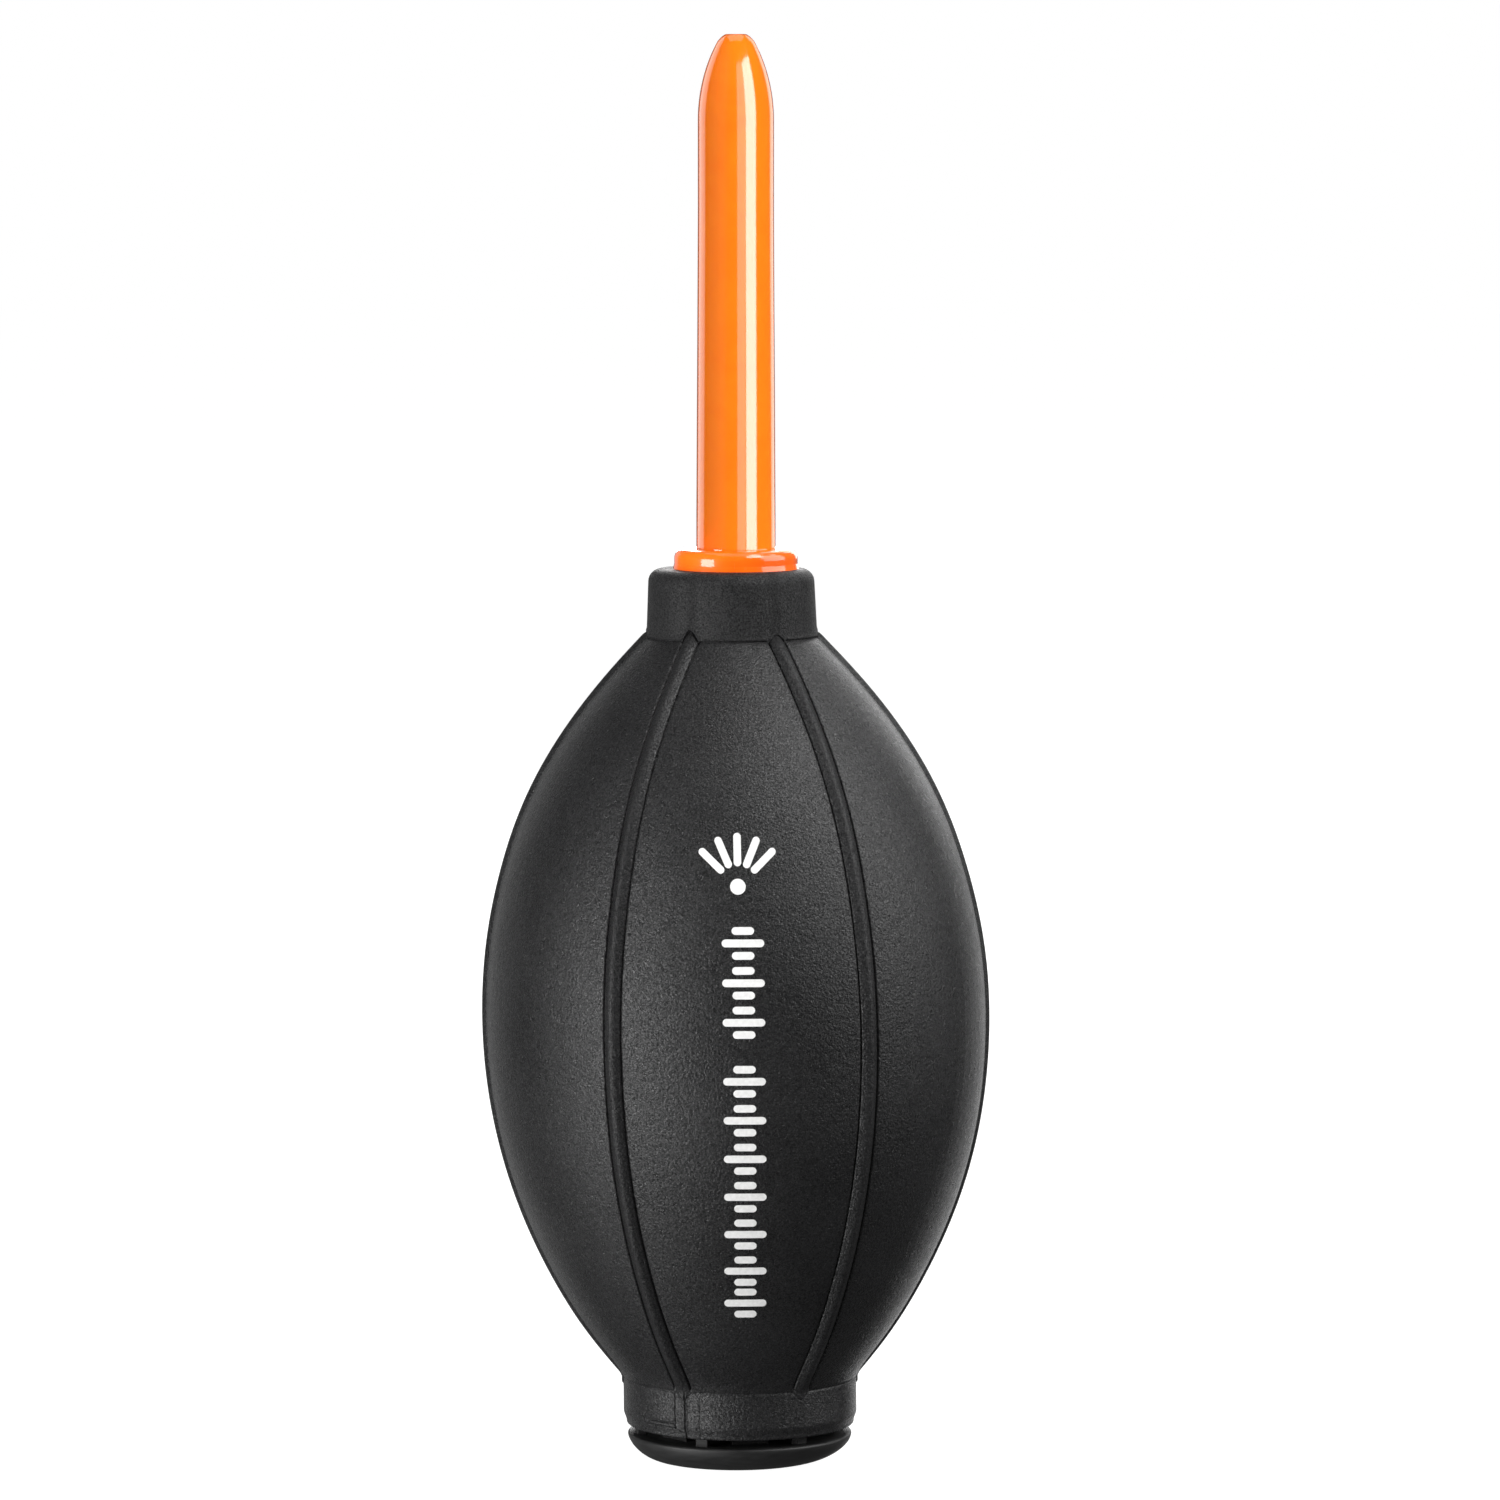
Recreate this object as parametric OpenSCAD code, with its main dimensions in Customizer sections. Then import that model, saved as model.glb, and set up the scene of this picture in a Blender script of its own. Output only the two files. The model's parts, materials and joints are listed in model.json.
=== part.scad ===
/* [Bulb] */
// Largest diameter, measured over the ribs
belly_d = 60; // [58:0.5:62]
// Height of the widest ring above the table
equator_z = 52.3; // [51.8:0.1:53]
// Radius of the crest line above the widest ring
upper_arc_r = 61.1; // [60.4:0.1:62.5]
// Radius of the crest line below the widest ring
lower_arc_r = 66; // [65:0.1:68]
// Thickness of the rubber wall
wall = 2.8; // [2.6:0.1:3]
// Width of one moulded rib at its foot
rib_w = 2.1; // [1.8:0.1:2.4]
// Height of one moulded rib above the belly
rib_h = 0.6; // [0.5:0.05:0.7]
// Diameter of the neck collar where it leaves the belly
neck_d = 20.1; // [19.8:0.1:20.6]
// Diameter of the neck collar at its top edge
neck_top_d = 19.5; // [19:0.1:19.7]
// Height of the neck collar's top face
neck_top_z = 105.5; // [105:0.1:106.5]
// Diameter of the base collar
base_collar_d = 27.6; // [27.2:0.1:28]

/* [Squeeze walls] */
// Half width of the finger wall on each side
squeeze_half_w = 12.4; // [10:0.2:12.4]
// Half height of the finger wall on each side
squeeze_half_h = 30; // [20:1:30]
// Clearance all round a finger wall
squeeze_gap = 0.3; // [0.2:0.05:0.5]

/* [Nozzle] */
// Height of the nozzle's tip above the table
overall_h = 168; // [150:1:190]
// Diameter of the nozzle's straight stretch, below the round tip
nozzle_d = 8.86; // [8.6:0.02:9]
// Nozzle diameter at its foot, also its spigot in the socket
nozzle_foot_d = 9.3; // [9.26:0.01:9.34]
// Length of the straight stretch, which the moulding draft ends at
land_l = 11; // [8:0.5:16]
// Length of the round tip
tip_l = 10; // [9:0.1:11]
// Diameter of the air outlet
outlet_d = 2; // [1.6:0.1:2.2]
// Length of the straight outlet hole
outlet_l = 8; // [6:1:12]
// Diameter of the wide air channel behind the outlet
channel_d = 5.2; // [4.8:0.1:5.4]

/* [Nozzle socket] */
// Diameter of the visible rim
rim_d = 14.8; // [14:0.1:16]
// Thickness of the visible rim
rim_h = 2.35; // [2:0.05:2.5]
// Diameter of the socket's barrel inside the neck
barrel_d = 12.4; // [12.2:0.1:12.8]
// Diameter over the barbs that grip the rubber
barb_d = 13.8; // [13.4:0.1:14.2]
// Running clearance between nozzle and socket, per side
nozzle_play = 0.06; // [0.05:0.01:0.08]

/* [Base] */
// Diameter of the base cap
cap_d = 26.5; // [26:0.1:26.8]
// Thickness of the base cap
cap_h = 3.1; // [2.9:0.05:3.2]
// Height of the air slot above the cap
slot_h = 1.05; // [0.85:0.05:1.1]
// Diameter of the rubber pads under the cap
pad_d = 2.8; // [2.4:0.1:3]
// Distance the pads stand out below the cap
pad_proud = 0.2; // [0.15:0.05:0.3]
// Outer diameter of the intake housing
housing_d = 22.4; // [22:0.1:22.8]
// Bore of the intake housing, where the filter sits
housing_bore_d = 19.6; // [19.2:0.1:20]

/* [Hidden] */
$fn = 96;

rubber = "#2c2c2e";
orange = "#ff7d18";
deep_orange = "#ff5b14";
black_plastic = "#1b1b1d";
silicone = "#d9d6cc";

// Bulb
belly_r = belly_d / 2;
belly_span = 56;
rib_count = 6;
rib_r = (pow(rib_w / 2, 2) + pow(rib_h, 2)) / (2 * rib_h);
rib_top_rise = 45.4;
rib_foot_drop = 44;
neck_foot_z = 95;
neck_edge_r = 1;
base_collar_z = cap_h + slot_h;
base_collar_top_z = 11;
base_edge = [[-0.45, 0], [-0.3, 0.3], [-0.1, 1]];

// Finger walls
squeeze_z = 52;
squeeze_arc_r = (pow(squeeze_half_w, 2) + pow(squeeze_half_h, 2)) / (2 * squeeze_half_w);

// Nozzle and its socket
socket_bore_r = nozzle_foot_d / 2 + nozzle_play;
rim_top_z = neck_top_z + rim_h;
rim_edge_r = 1.1;
rim_draft = 0.15;
stop_top_z = neck_top_z - 13;
stop_h = 2.1;
socket_foot_z = stop_top_z - 6;
chamber_r = 4.6;
seat_r = 5.2;
seat_h = 1.5;
barb_h = 2.4;
barb_zs = [neck_top_z - 7.6, neck_top_z - 4.4];
nozzle_foot_z = stop_top_z + 0.1;
tip_z = overall_h;
tip_start_z = overall_h - tip_l;
nose_r = 2.16;
nose_l = 0.85;
tip_drop = nozzle_d / 2 - nose_r;
tip_arc_r = (pow(tip_l - nose_l, 2) + pow(tip_drop, 2)) / (2 * tip_drop);
groove_z = neck_top_z - 8;
groove_h = 1.3;
o_ring_r = 0.55;
o_ring_mid_r = socket_bore_r - 0.02 - o_ring_r;

// Outlet valve
seat_hole_r = 2;
seat_lip_h = 0.3;
flap_r = chamber_r - 0.1;
flap_h = 0.6;
flap_z = socket_foot_z + seat_h + seat_lip_h + 0.05;
port_count = 4;
port_r = 1.1;
port_pitch_r = 2.7;

// Intake
housing_r = housing_d / 2;
housing_bore_r = housing_bore_d / 2;
bead_r = housing_r + 0.8;
bead_z = base_collar_z + 3.4;
plate_z = 12;
plate_h = 1.6;
intake_port_count = 6;
intake_port_r = 1.5;
intake_port_pitch_r = 5;
stem_r = 1.2;
stem_play = 0.08;
washer_z = 10.2;
washer_h = 0.8;
washer_r = 2;
umbrella_r = 7.6;
umbrella_z = plate_z + plate_h + 0.05;
umbrella_rim_h = 0.5;
umbrella_crown_h = 1.2;
filter_r = housing_bore_r - 0.2;
retainer_z = 5.4;
retainer_h = 1;
mesh_z = retainer_z + retainer_h + 0.05;
mesh_h = 0.35;
mesh_wire = 0.35;
mesh_pitch = 1.7;
foam_z = mesh_z + mesh_h + 0.05;
foam_h = 2.9;

// Base cap
cap_r = cap_d / 2;
cap_edge_w = 4;
cap_edge_h = cap_h - 0.3 - pad_proud;
cap_edge_power = 2 / 1.6;
cap_recess_r = 4.8;
cap_recess_h = 0.5;
tab_count = 6;
tab_angle = -111;
tab_w = 1.6;
prong_angle = tab_angle + 30;
prong_w = 4.4;
prong_wall = 1.4;
pad_count = 6;
pad_pitch_r = 7.4;
pad_h = 0.8;
pad_gap = 0.02;

// Points on an arc about [x, y], from one angle to another
function arc(x, y, r, from, to, steps = 8) =
    [for (i = [0 : steps]) let (a = from + (to - from) * i / steps) [x + r * cos(a), y + r * sin(a)]];

module ring_of(count, first = 0) {
    for (i = [0 : count - 1]) rotate([0, 0, first + 360 * i / count]) children();
}

module tube(outer_r, inner_r, z, h) {
    translate([0, 0, z]) difference() {
        cylinder(r = outer_r, h = h);
        translate([0, 0, -1]) cylinder(r = inner_r, h = h + 2);
    }
}

// Half of the belly's outline, shrunk by inset; side is 1 above the widest ring and -1 below it
module belly_half_2d(side, arc_r, inset) {
    low = side > 0 ? equator_z : base_collar_z;
    high = side > 0 ? equator_z + belly_span : equator_z;
    intersection() {
        translate([belly_r - arc_r, equator_z]) circle(r = arc_r - inset);
        translate([0, low]) square([belly_r, high - low]);
    }
}

module belly_2d(inset) {
    belly_half_2d(1, upper_arc_r, inset);
    belly_half_2d(-1, lower_arc_r, inset);
}

module neck_collar_2d() {
    top_r = neck_top_d / 2;
    polygon(concat(
        [[0, neck_foot_z], [neck_d / 2, neck_foot_z]],
        arc(top_r - neck_edge_r, neck_top_z - neck_edge_r, neck_edge_r, 0, 90),
        [[0, neck_top_z]]
    ));
}

module base_collar_2d() {
    r = base_collar_d / 2;
    polygon(concat(
        [[0, base_collar_z]],
        [for (p = base_edge) [r + p[0], base_collar_z + p[1]]],
        [[r, base_collar_z + 1.6], [r, base_collar_top_z], [0, base_collar_top_z]]
    ));
}

// One moulded rib, a round bead that follows the crest line from neck to base
module rib() {
    upper_angle = asin(rib_top_rise / (upper_arc_r - rib_r));
    lower_angle = asin(rib_foot_drop / (lower_arc_r - rib_r));
    translate([belly_r - upper_arc_r, 0, equator_z]) rotate([90, 0, 0])
        rotate_extrude(angle = upper_angle) translate([upper_arc_r - rib_r, 0]) circle(r = rib_r);
    translate([belly_r - lower_arc_r, 0, equator_z]) rotate([90, 0, 0]) rotate([0, 0, -lower_angle])
        rotate_extrude(angle = lower_angle) translate([lower_arc_r - rib_r, 0]) circle(r = rib_r);
}

module bulb_skin() {
    rotate_extrude() difference() {
        union() {
            belly_2d(rib_h);
            neck_collar_2d();
            base_collar_2d();
        }
        belly_2d(rib_h + wall);
    }
}

// Prism through the front wall, in the outline of one finger wall
module squeeze_window(grow) {
    offset_x = squeeze_arc_r - squeeze_half_w;
    translate([0, 0, squeeze_z]) rotate([90, 0, 0]) linear_extrude(height = belly_r + 2)
        intersection() {
            translate([offset_x, 0]) circle(r = squeeze_arc_r + grow);
            translate([-offset_x, 0]) circle(r = squeeze_arc_r + grow);
        }
}

module squeeze_wall() {
    intersection() {
        rotate_extrude() difference() {
            belly_2d(rib_h);
            belly_2d(rib_h + wall);
        }
        squeeze_window(0);
    }
}

// Outside of the socket below its rim: a barrel with two barbs
module socket_barrel_2d() {
    union() {
        translate([0, socket_foot_z]) square([barrel_d / 2, neck_top_z - socket_foot_z]);
        for (z = barb_zs) polygon([
            [0, z], [barrel_d / 2, z], [barb_d / 2, z + barb_h - 0.6],
            [barb_d / 2, z + barb_h], [0, z + barb_h]
        ]);
    }
}

module housing_outside_2d() {
    height = plate_z + plate_h - base_collar_z;
    translate([0, base_collar_z]) square([housing_r, height]);
    polygon([
        [0, bead_z - 1.2], [housing_r, bead_z - 1.2], [bead_r, bead_z - 0.4],
        [bead_r, bead_z + 0.4], [housing_r, bead_z + 1.2], [0, bead_z + 1.2]
    ]);
}

module bulb() {
    color(rubber) difference() {
        union() {
            bulb_skin();
            ring_of(rib_count) rib();
        }
        rotate_extrude() socket_barrel_2d();
        rotate_extrude() housing_outside_2d();
        squeeze_window(squeeze_gap);
        rotate([0, 0, 180]) squeeze_window(squeeze_gap);
    }
}

module front_squeeze_wall() {
    color(rubber) squeeze_wall();
}

module rear_squeeze_wall() {
    color(rubber) rotate([0, 0, 180]) squeeze_wall();
}

module nozzle_outside_2d() {
    foot_r = nozzle_foot_d / 2;
    end_angle = asin((tip_l - nose_l) / tip_arc_r);
    polygon(concat(
        [[0, nozzle_foot_z], [foot_r - 0.4, nozzle_foot_z], [foot_r, nozzle_foot_z + 0.4]],
        [[foot_r, rim_top_z], [nozzle_d / 2, tip_start_z - land_l]],
        arc(nozzle_d / 2 - tip_arc_r, tip_start_z, tip_arc_r, 0, end_angle, 14),
        [[1.72, tip_z - 0.38], [1.35, tip_z - 0.1], [1.2, tip_z], [0, tip_z]]
    ));
}

module nozzle() {
    color(orange) difference() {
        rotate_extrude() nozzle_outside_2d();
        translate([0, 0, tip_z - outlet_l]) cylinder(d = outlet_d, h = outlet_l + 1);
        translate([0, 0, tip_z - outlet_l - 6]) cylinder(d1 = channel_d, d2 = outlet_d, h = 6.01);
        translate([0, 0, nozzle_foot_z - 1]) cylinder(d = channel_d, h = tip_z - outlet_l - 5 - nozzle_foot_z);
        tube(nozzle_foot_d, o_ring_mid_r - o_ring_r, groove_z - groove_h / 2, groove_h);
    }
}

module nozzle_o_ring() {
    color("#101012") translate([0, 0, groove_z]) rotate_extrude()
        translate([o_ring_mid_r, 0]) circle(r = o_ring_r, $fn = 32);
}

module socket_rim_2d() {
    polygon(concat(
        [[0, neck_top_z], [rim_d / 2, neck_top_z], [rim_d / 2 - rim_draft, neck_top_z + 0.6]],
        arc(rim_d / 2 - rim_draft - rim_edge_r, rim_top_z - rim_edge_r, rim_edge_r, 0, 90),
        [[0, rim_top_z]]
    ));
}

module nozzle_socket() {
    color(deep_orange) difference() {
        rotate_extrude() union() {
            socket_barrel_2d();
            socket_rim_2d();
        }
        translate([0, 0, stop_top_z]) cylinder(r = socket_bore_r, h = rim_top_z);
        translate([0, 0, socket_foot_z - 1]) cylinder(r = chamber_r, h = stop_top_z - stop_h - socket_foot_z + 1);
        translate([0, 0, socket_foot_z - 1]) cylinder(r = seat_r, h = seat_h + 1);
        ring_of(port_count, 45) translate([port_pitch_r, 0, stop_top_z - stop_h - 1])
            cylinder(r = port_r, h = stop_h + 2, $fn = 32);
    }
}

module outlet_valve_seat() {
    color(black_plastic) {
        tube(seat_r, seat_hole_r, socket_foot_z, seat_h);
        tube(seat_hole_r + 0.7, seat_hole_r, socket_foot_z + seat_h - 0.1, seat_lip_h + 0.1);
    }
}

module outlet_valve_flap() {
    color(silicone) translate([0, 0, flap_z]) difference() {
        cylinder(r = flap_r, h = flap_h);
        ring_of(port_count) translate([flap_r + 0.3, 0, -1]) cylinder(r = port_r, h = flap_h + 2, $fn = 32);
    }
}

module intake_housing() {
    color(black_plastic) difference() {
        rotate_extrude() housing_outside_2d();
        translate([0, 0, base_collar_z - 1]) cylinder(r = housing_bore_r, h = plate_z - base_collar_z + 1);
        translate([0, 0, plate_z - 1]) cylinder(r = stem_r + stem_play, h = plate_h + 2, $fn = 48);
        ring_of(intake_port_count) translate([intake_port_pitch_r, 0, plate_z - 1])
            cylinder(r = intake_port_r, h = plate_h + 2, $fn = 32);
    }
}

module intake_valve() {
    color(silicone) {
        rotate_extrude() polygon(concat(
            [[0, umbrella_z], [umbrella_r, umbrella_z], [umbrella_r, umbrella_z + umbrella_rim_h]],
            [[stem_r + 1, umbrella_z + umbrella_crown_h], [0, umbrella_z + umbrella_crown_h]]
        ));
        translate([0, 0, washer_z]) cylinder(r = stem_r, h = umbrella_z - washer_z + 0.1, $fn = 48);
    }
}

module intake_valve_washer() {
    color(black_plastic) tube(washer_r, stem_r, washer_z, washer_h);
}

module filter_foam() {
    color("#55575a") translate([0, 0, foam_z]) cylinder(r = filter_r, h = foam_h);
}

module filter_mesh() {
    wires = floor(filter_r / mesh_pitch);
    color("silver") translate([0, 0, mesh_z]) linear_extrude(height = mesh_h) {
        difference() {
            circle(r = filter_r);
            circle(r = filter_r - 0.8);
        }
        intersection() {
            circle(r = filter_r - 0.4);
            for (turn = [0, 90], i = [-wires : wires])
                rotate(turn) translate([i * mesh_pitch, 0]) square([mesh_wire, 2 * filter_r], center = true);
        }
    }
}

module filter_retainer() {
    color(black_plastic) translate([0, 0, retainer_z]) {
        tube(filter_r, filter_r - 1.4, 0, retainer_h);
        for (turn = [0, 60, 120]) rotate([0, 0, turn])
            translate([-filter_r + 0.7, -0.6, 0]) cube([2 * filter_r - 1.4, 1.2, retainer_h]);
    }
}

// The cap's edge sweeps up from its flat underside like a shallow dish
module cap_plate_2d() {
    polygon(concat(
        [[0, pad_proud]],
        [for (a = [0 : 7.5 : 90]) [
            cap_r - cap_edge_w * (1 - pow(sin(a), cap_edge_power)),
            pad_proud + cap_edge_h * (1 - pow(cos(a), cap_edge_power))
        ]],
        [[cap_r, cap_h - 0.25], [cap_r - 0.25, cap_h], [0, cap_h]]
    ));
}

module base_cap() {
    prong_h = retainer_z - cap_h + 0.2;
    color(black_plastic) {
        difference() {
            rotate_extrude() cap_plate_2d();
            translate([0, 0, -1]) cylinder(r = cap_recess_r, h = 1 + pad_proud + cap_recess_h);
            ring_of(pad_count) translate([pad_pitch_r, 0, -1])
                cylinder(r = pad_d / 2 + pad_gap, h = 1 + pad_h, $fn = 48);
        }
        // Tabs that hold the bulb clear of the cap and leave the air slot
        ring_of(tab_count, tab_angle) translate([housing_r, -tab_w / 2, cap_h - 0.2])
            cube([1.6, tab_w, slot_h + 0.15]);
        // Prongs that grip the housing's bore and carry the filter
        intersection() {
            tube(filter_r, filter_r - prong_wall, cap_h - 0.2, prong_h);
            ring_of(tab_count, prong_angle) translate([0, -prong_w / 2, 0])
                cube([filter_r, prong_w, retainer_z]);
        }
    }
}

module foot_pads() {
    color("#151516") ring_of(pad_count) translate([pad_pitch_r, 0, 0]) cylinder(d = pad_d, h = pad_h, $fn = 48);
}

bulb();
front_squeeze_wall();
rear_squeeze_wall();
nozzle();
nozzle_o_ring();
nozzle_socket();
outlet_valve_seat();
outlet_valve_flap();
intake_housing();
intake_valve();
intake_valve_washer();
filter_foam();
filter_mesh();
filter_retainer();
base_cap();
foot_pads();
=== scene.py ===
import json
import math

import bmesh
import bpy
import numpy as np
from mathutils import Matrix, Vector

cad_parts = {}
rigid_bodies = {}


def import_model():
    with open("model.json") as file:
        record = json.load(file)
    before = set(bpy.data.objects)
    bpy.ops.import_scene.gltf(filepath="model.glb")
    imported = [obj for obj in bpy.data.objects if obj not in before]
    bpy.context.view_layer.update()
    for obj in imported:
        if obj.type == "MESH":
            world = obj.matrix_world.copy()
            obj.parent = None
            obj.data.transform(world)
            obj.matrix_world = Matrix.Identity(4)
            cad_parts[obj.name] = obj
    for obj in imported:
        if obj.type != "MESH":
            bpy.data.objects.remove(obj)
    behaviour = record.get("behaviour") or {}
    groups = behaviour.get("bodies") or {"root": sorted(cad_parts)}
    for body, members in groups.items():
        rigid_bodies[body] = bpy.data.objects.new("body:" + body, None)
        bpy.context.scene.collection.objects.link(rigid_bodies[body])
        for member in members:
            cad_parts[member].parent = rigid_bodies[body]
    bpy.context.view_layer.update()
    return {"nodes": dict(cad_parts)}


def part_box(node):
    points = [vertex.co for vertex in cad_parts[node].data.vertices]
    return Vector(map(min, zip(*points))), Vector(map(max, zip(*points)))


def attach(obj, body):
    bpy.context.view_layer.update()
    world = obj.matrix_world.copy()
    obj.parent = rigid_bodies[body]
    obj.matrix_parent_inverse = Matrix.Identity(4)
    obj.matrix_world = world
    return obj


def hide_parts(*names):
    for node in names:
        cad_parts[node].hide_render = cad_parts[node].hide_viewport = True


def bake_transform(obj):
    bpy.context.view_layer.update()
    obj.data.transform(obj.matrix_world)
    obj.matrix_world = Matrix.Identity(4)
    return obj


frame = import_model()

# Sizes are in millimetres and angles in degrees, unless a comment says otherwise.
MM = 0.001
NODES = frame["nodes"]

# Bulb. CREST holds (height, radius) points along the tops of the ribs.
CREST = [
    (7, 11.5), (14, 17.33), (22, 22.33), (30, 25.95), (38, 28.36), (46, 29.67), (54, 30.0),
    (62, 29.34), (70, 27.6), (78, 24.77), (86, 20.31), (94, 14.02), (99.5, 8.85),
]
WALL = 2.8
MIDDLE_Z = 52
LEAN = 0.0104  # mm sideways per mm of height
RIB_STEP, RIBS_PER_HALF = 60, 3
PARTING_RIB = -120
RIB_HALF_W, RIB_H = 1.05, 0.5
CREASE_D, CREASE_W, CREASE_DEPTH = 1.1, 0.095, 0.26
PLAIN = 99.0  # a distance from a rib's centre line at which the skin is plain
FILLET, FILLET_Z, FILLET_FADE = 1.0, 9.1, 1.2
FOOT_OVERLAP, FOOT_OVERLAP_W, FOOT_PROUD = 0.9, 0.8, 0.2

# Neck collar, with the notch that each rib makes in its lower edge
NECK_FOOT_Z, NECK_FOOT_R = 97.5, 10.05
NECK_EDGE_Z, NECK_EDGE_R, NECK_EDGE_W = 104.0, 9.77, 1.57
NECK_TOP_Z = 105.5
NECK_BORE_R = 6.22
INNER_TOP_Z = 97.0
NOTCH, NOTCH_ELSEWHERE = 0.5, -0.15
NOTCH_D, NOTCH_W = -0.15, 0.85

# Base collar
COLLAR_R = 13.8
COLLAR_BOTTOM_Z, COLLAR_BOTTOM_R, COLLAR_EDGE = 4.15, 13.47, 0.25
COLLAR_FLARE_Z = 5.7
MARKS_TOP_Z, MARKS_FROM_R = 6.06, 13.2
HOUSING_R, HOUSING_TOP_Z = 11.22, 13.6

# Nozzle
NOZZLE_FOOT_Z, NOZZLE_FOOT_R = 92.6, 4.65
NOZZLE_R = 4.43
RIM_TOP_Z = 107.85
LAND_Z = 147
TIP_START_Z, TIP_Z = 158, 168
NOSE_R, NOSE_L = 2.16, 0.85
NOSE_BEND_R, NOSE_BEND_L = 1.57, 0.11
NOSE_FLAT_R = 1.15
LIP_R, LIP_L = 1.06, 0.02
GROOVE_Z, GROOVE_H, GROOVE_R = 97.5, 1.3, 3.6
CHANNEL_R, CHANNEL_TAPER_L = 2.6, 6
OUTLET_R, OUTLET_EDGE_L, OUTLET_L = 1.0, 0.15, 8
SEAM_W, SEAM_H = 0.1, 0.02

# Base cap, with a shallow track in its top, tabs in the air slot and prongs that hold it in the housing
CAP_R, CAP_TOP_Z, CAP_FOOT_Z = 13.25, 3.1, 0.02
CAP_EDGE_W, CAP_EDGE_H, CAP_EDGE_POWER = 3.7, 2.8, 2 / 1.6
CAP_TOP_EDGE_W, CAP_TOP_EDGE_H = 0.32, 0.24
CAP_RECESS_R, CAP_RECESS_H = 4.8, 0.5
TRACK_IN_R, TRACK_OUT_R, TRACK_H = 9.9, 11.5, 0.1
TABS = 6
TAB_R, TAB_Z, TAB_W, TAB_ANGLE = (10.9, 12.0), (2.9, 4.1), 1.5, -111
PRONG_R, PRONG_Z, PRONG_W, PRONG_ANGLE = (8.25, 9.55), (2.9, 5.4), 4.4, -81

# Camera
CAMERA_DISTANCE, CAMERA_HEIGHT = 880, 161
CAMERA_PITCH, CAMERA_TURN = 4.995, -1.4
CAMERA_ASIDE = 1.65
LENS, SENSOR = 180.07, 36


# ---------------------------------------------------------------- helpers
def spline(points):
    """Natural cubic through (x, y) points, as a function."""
    x, y = np.array(points, float).T
    h, n = np.diff(x), len(x)
    a, b = np.eye(n), np.zeros(n)
    for i in range(1, n - 1):
        a[i, i - 1 : i + 2] = h[i - 1], 2 * (h[i - 1] + h[i]), h[i]
        b[i] = 6 * ((y[i + 1] - y[i]) / h[i] - (y[i] - y[i - 1]) / h[i - 1])
    m = np.linalg.solve(a, b)

    def at(q):
        q = np.asarray(q, float)
        i = np.clip(np.searchsorted(x, q) - 1, 0, n - 2)
        t = q - x[i]
        slope = (y[i + 1] - y[i]) / h[i] - h[i] * (2 * m[i] + m[i + 1]) / 6
        return y[i] + t * (slope + t * (m[i] / 2 + t * (m[i + 1] - m[i]) / (6 * h[i])))

    return at


def bump_at(x, centre, width):
    return np.exp(-(((x - centre) / width) ** 2))


def add_object(name, mesh):
    obj = bpy.data.objects.new(name, mesh)
    bpy.context.scene.collection.objects.link(obj)
    return obj


def mesh_object(name, verts_mm, faces, smooth_angle=38):
    """A mesh object from points in mm. Edges sharper than smooth_angle stay sharp."""
    bm = bmesh.new()
    vs = [bm.verts.new(Vector(v) * MM) for v in verts_mm]
    for f in faces:
        if len(set(f)) > 2:
            bm.faces.new([vs[i] for i in f])
    bmesh.ops.remove_doubles(bm, verts=bm.verts, dist=1e-7)
    bmesh.ops.recalc_face_normals(bm, faces=bm.faces)
    for e in bm.edges:
        e.smooth = len(e.link_faces) == 2 and e.calc_face_angle(0) < math.radians(smooth_angle)
    for f in bm.faces:
        f.smooth = True
    mesh = bpy.data.meshes.new(name)
    bm.to_mesh(mesh)
    bm.free()
    return add_object(name, mesh)


def rounded(outline, steps=4):
    """A closed outline of (r, z) or (r, z, fillet radius) with its corners rounded."""
    out, n = [], len(outline)
    for i, p in enumerate(outline):
        here = Vector(p[:2])
        if len(p) < 3 or p[2] <= 0:
            out.append(tuple(here))
            continue
        a = (Vector(outline[i - 1][:2]) - here).normalized()
        b = (Vector(outline[(i + 1) % n][:2]) - here).normalized()
        half = math.acos(max(-1, min(1, a.dot(b)))) / 2
        reach = p[2] / math.tan(half)
        centre = here + (a + b).normalized() * (p[2] / math.sin(half))
        start, end = here + a * reach - centre, here + b * reach - centre
        for k in range(steps + 1):
            t = k / steps
            v = (start * (1 - t) + end * t).normalized() * p[2]
            out.append(tuple(centre + v))
    return out


def revolve(name, outline, steps, shape):
    """Solid of revolution of a closed (r, z) outline, whose radius is shape(angle, r, z)."""
    n = len(outline)
    verts = []
    for k in range(steps):
        a = 2 * math.pi * k / steps
        for r, z in outline:
            rr = shape(a, r, z)
            verts.append((rr * math.cos(a), rr * math.sin(a), z))
    faces = []
    for k in range(steps):
        k2 = (k + 1) % steps
        for i in range(n):
            j = (i + 1) % n
            faces.append((k * n + i, k * n + j, k2 * n + j, k2 * n + i))
    return mesh_object(name, verts, faces)


def block(verts, faces, radii, heights, angle, width):
    """Adds a small block at an angle round the axis, its sides parallel."""
    c, s = math.cos(math.radians(angle)), math.sin(math.radians(angle))
    base, half, (near, far) = len(verts), width / 2, radii
    for z in heights:
        for x, y in ((near, -half), (far, -half), (far, half), (near, half)):
            verts.append((x * c - y * s, x * s + y * c, z))
    for f in ((3, 2, 1, 0), (4, 5, 6, 7), (0, 1, 5, 4), (1, 2, 6, 5), (2, 3, 7, 6), (3, 0, 4, 7)):
        faces.append([base + i for i in f])


def soften_edges(obj, width_mm):
    mod = obj.modifiers.new("soft_edges", "BEVEL")
    mod.width = width_mm * MM
    mod.segments = 2
    mod.limit_method = "ANGLE"
    mod.angle_limit = math.radians(35)
    mod.harden_normals = True
    return obj


# ---------------------------------------------------------------- bulb
crest = spline(CREST)


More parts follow.
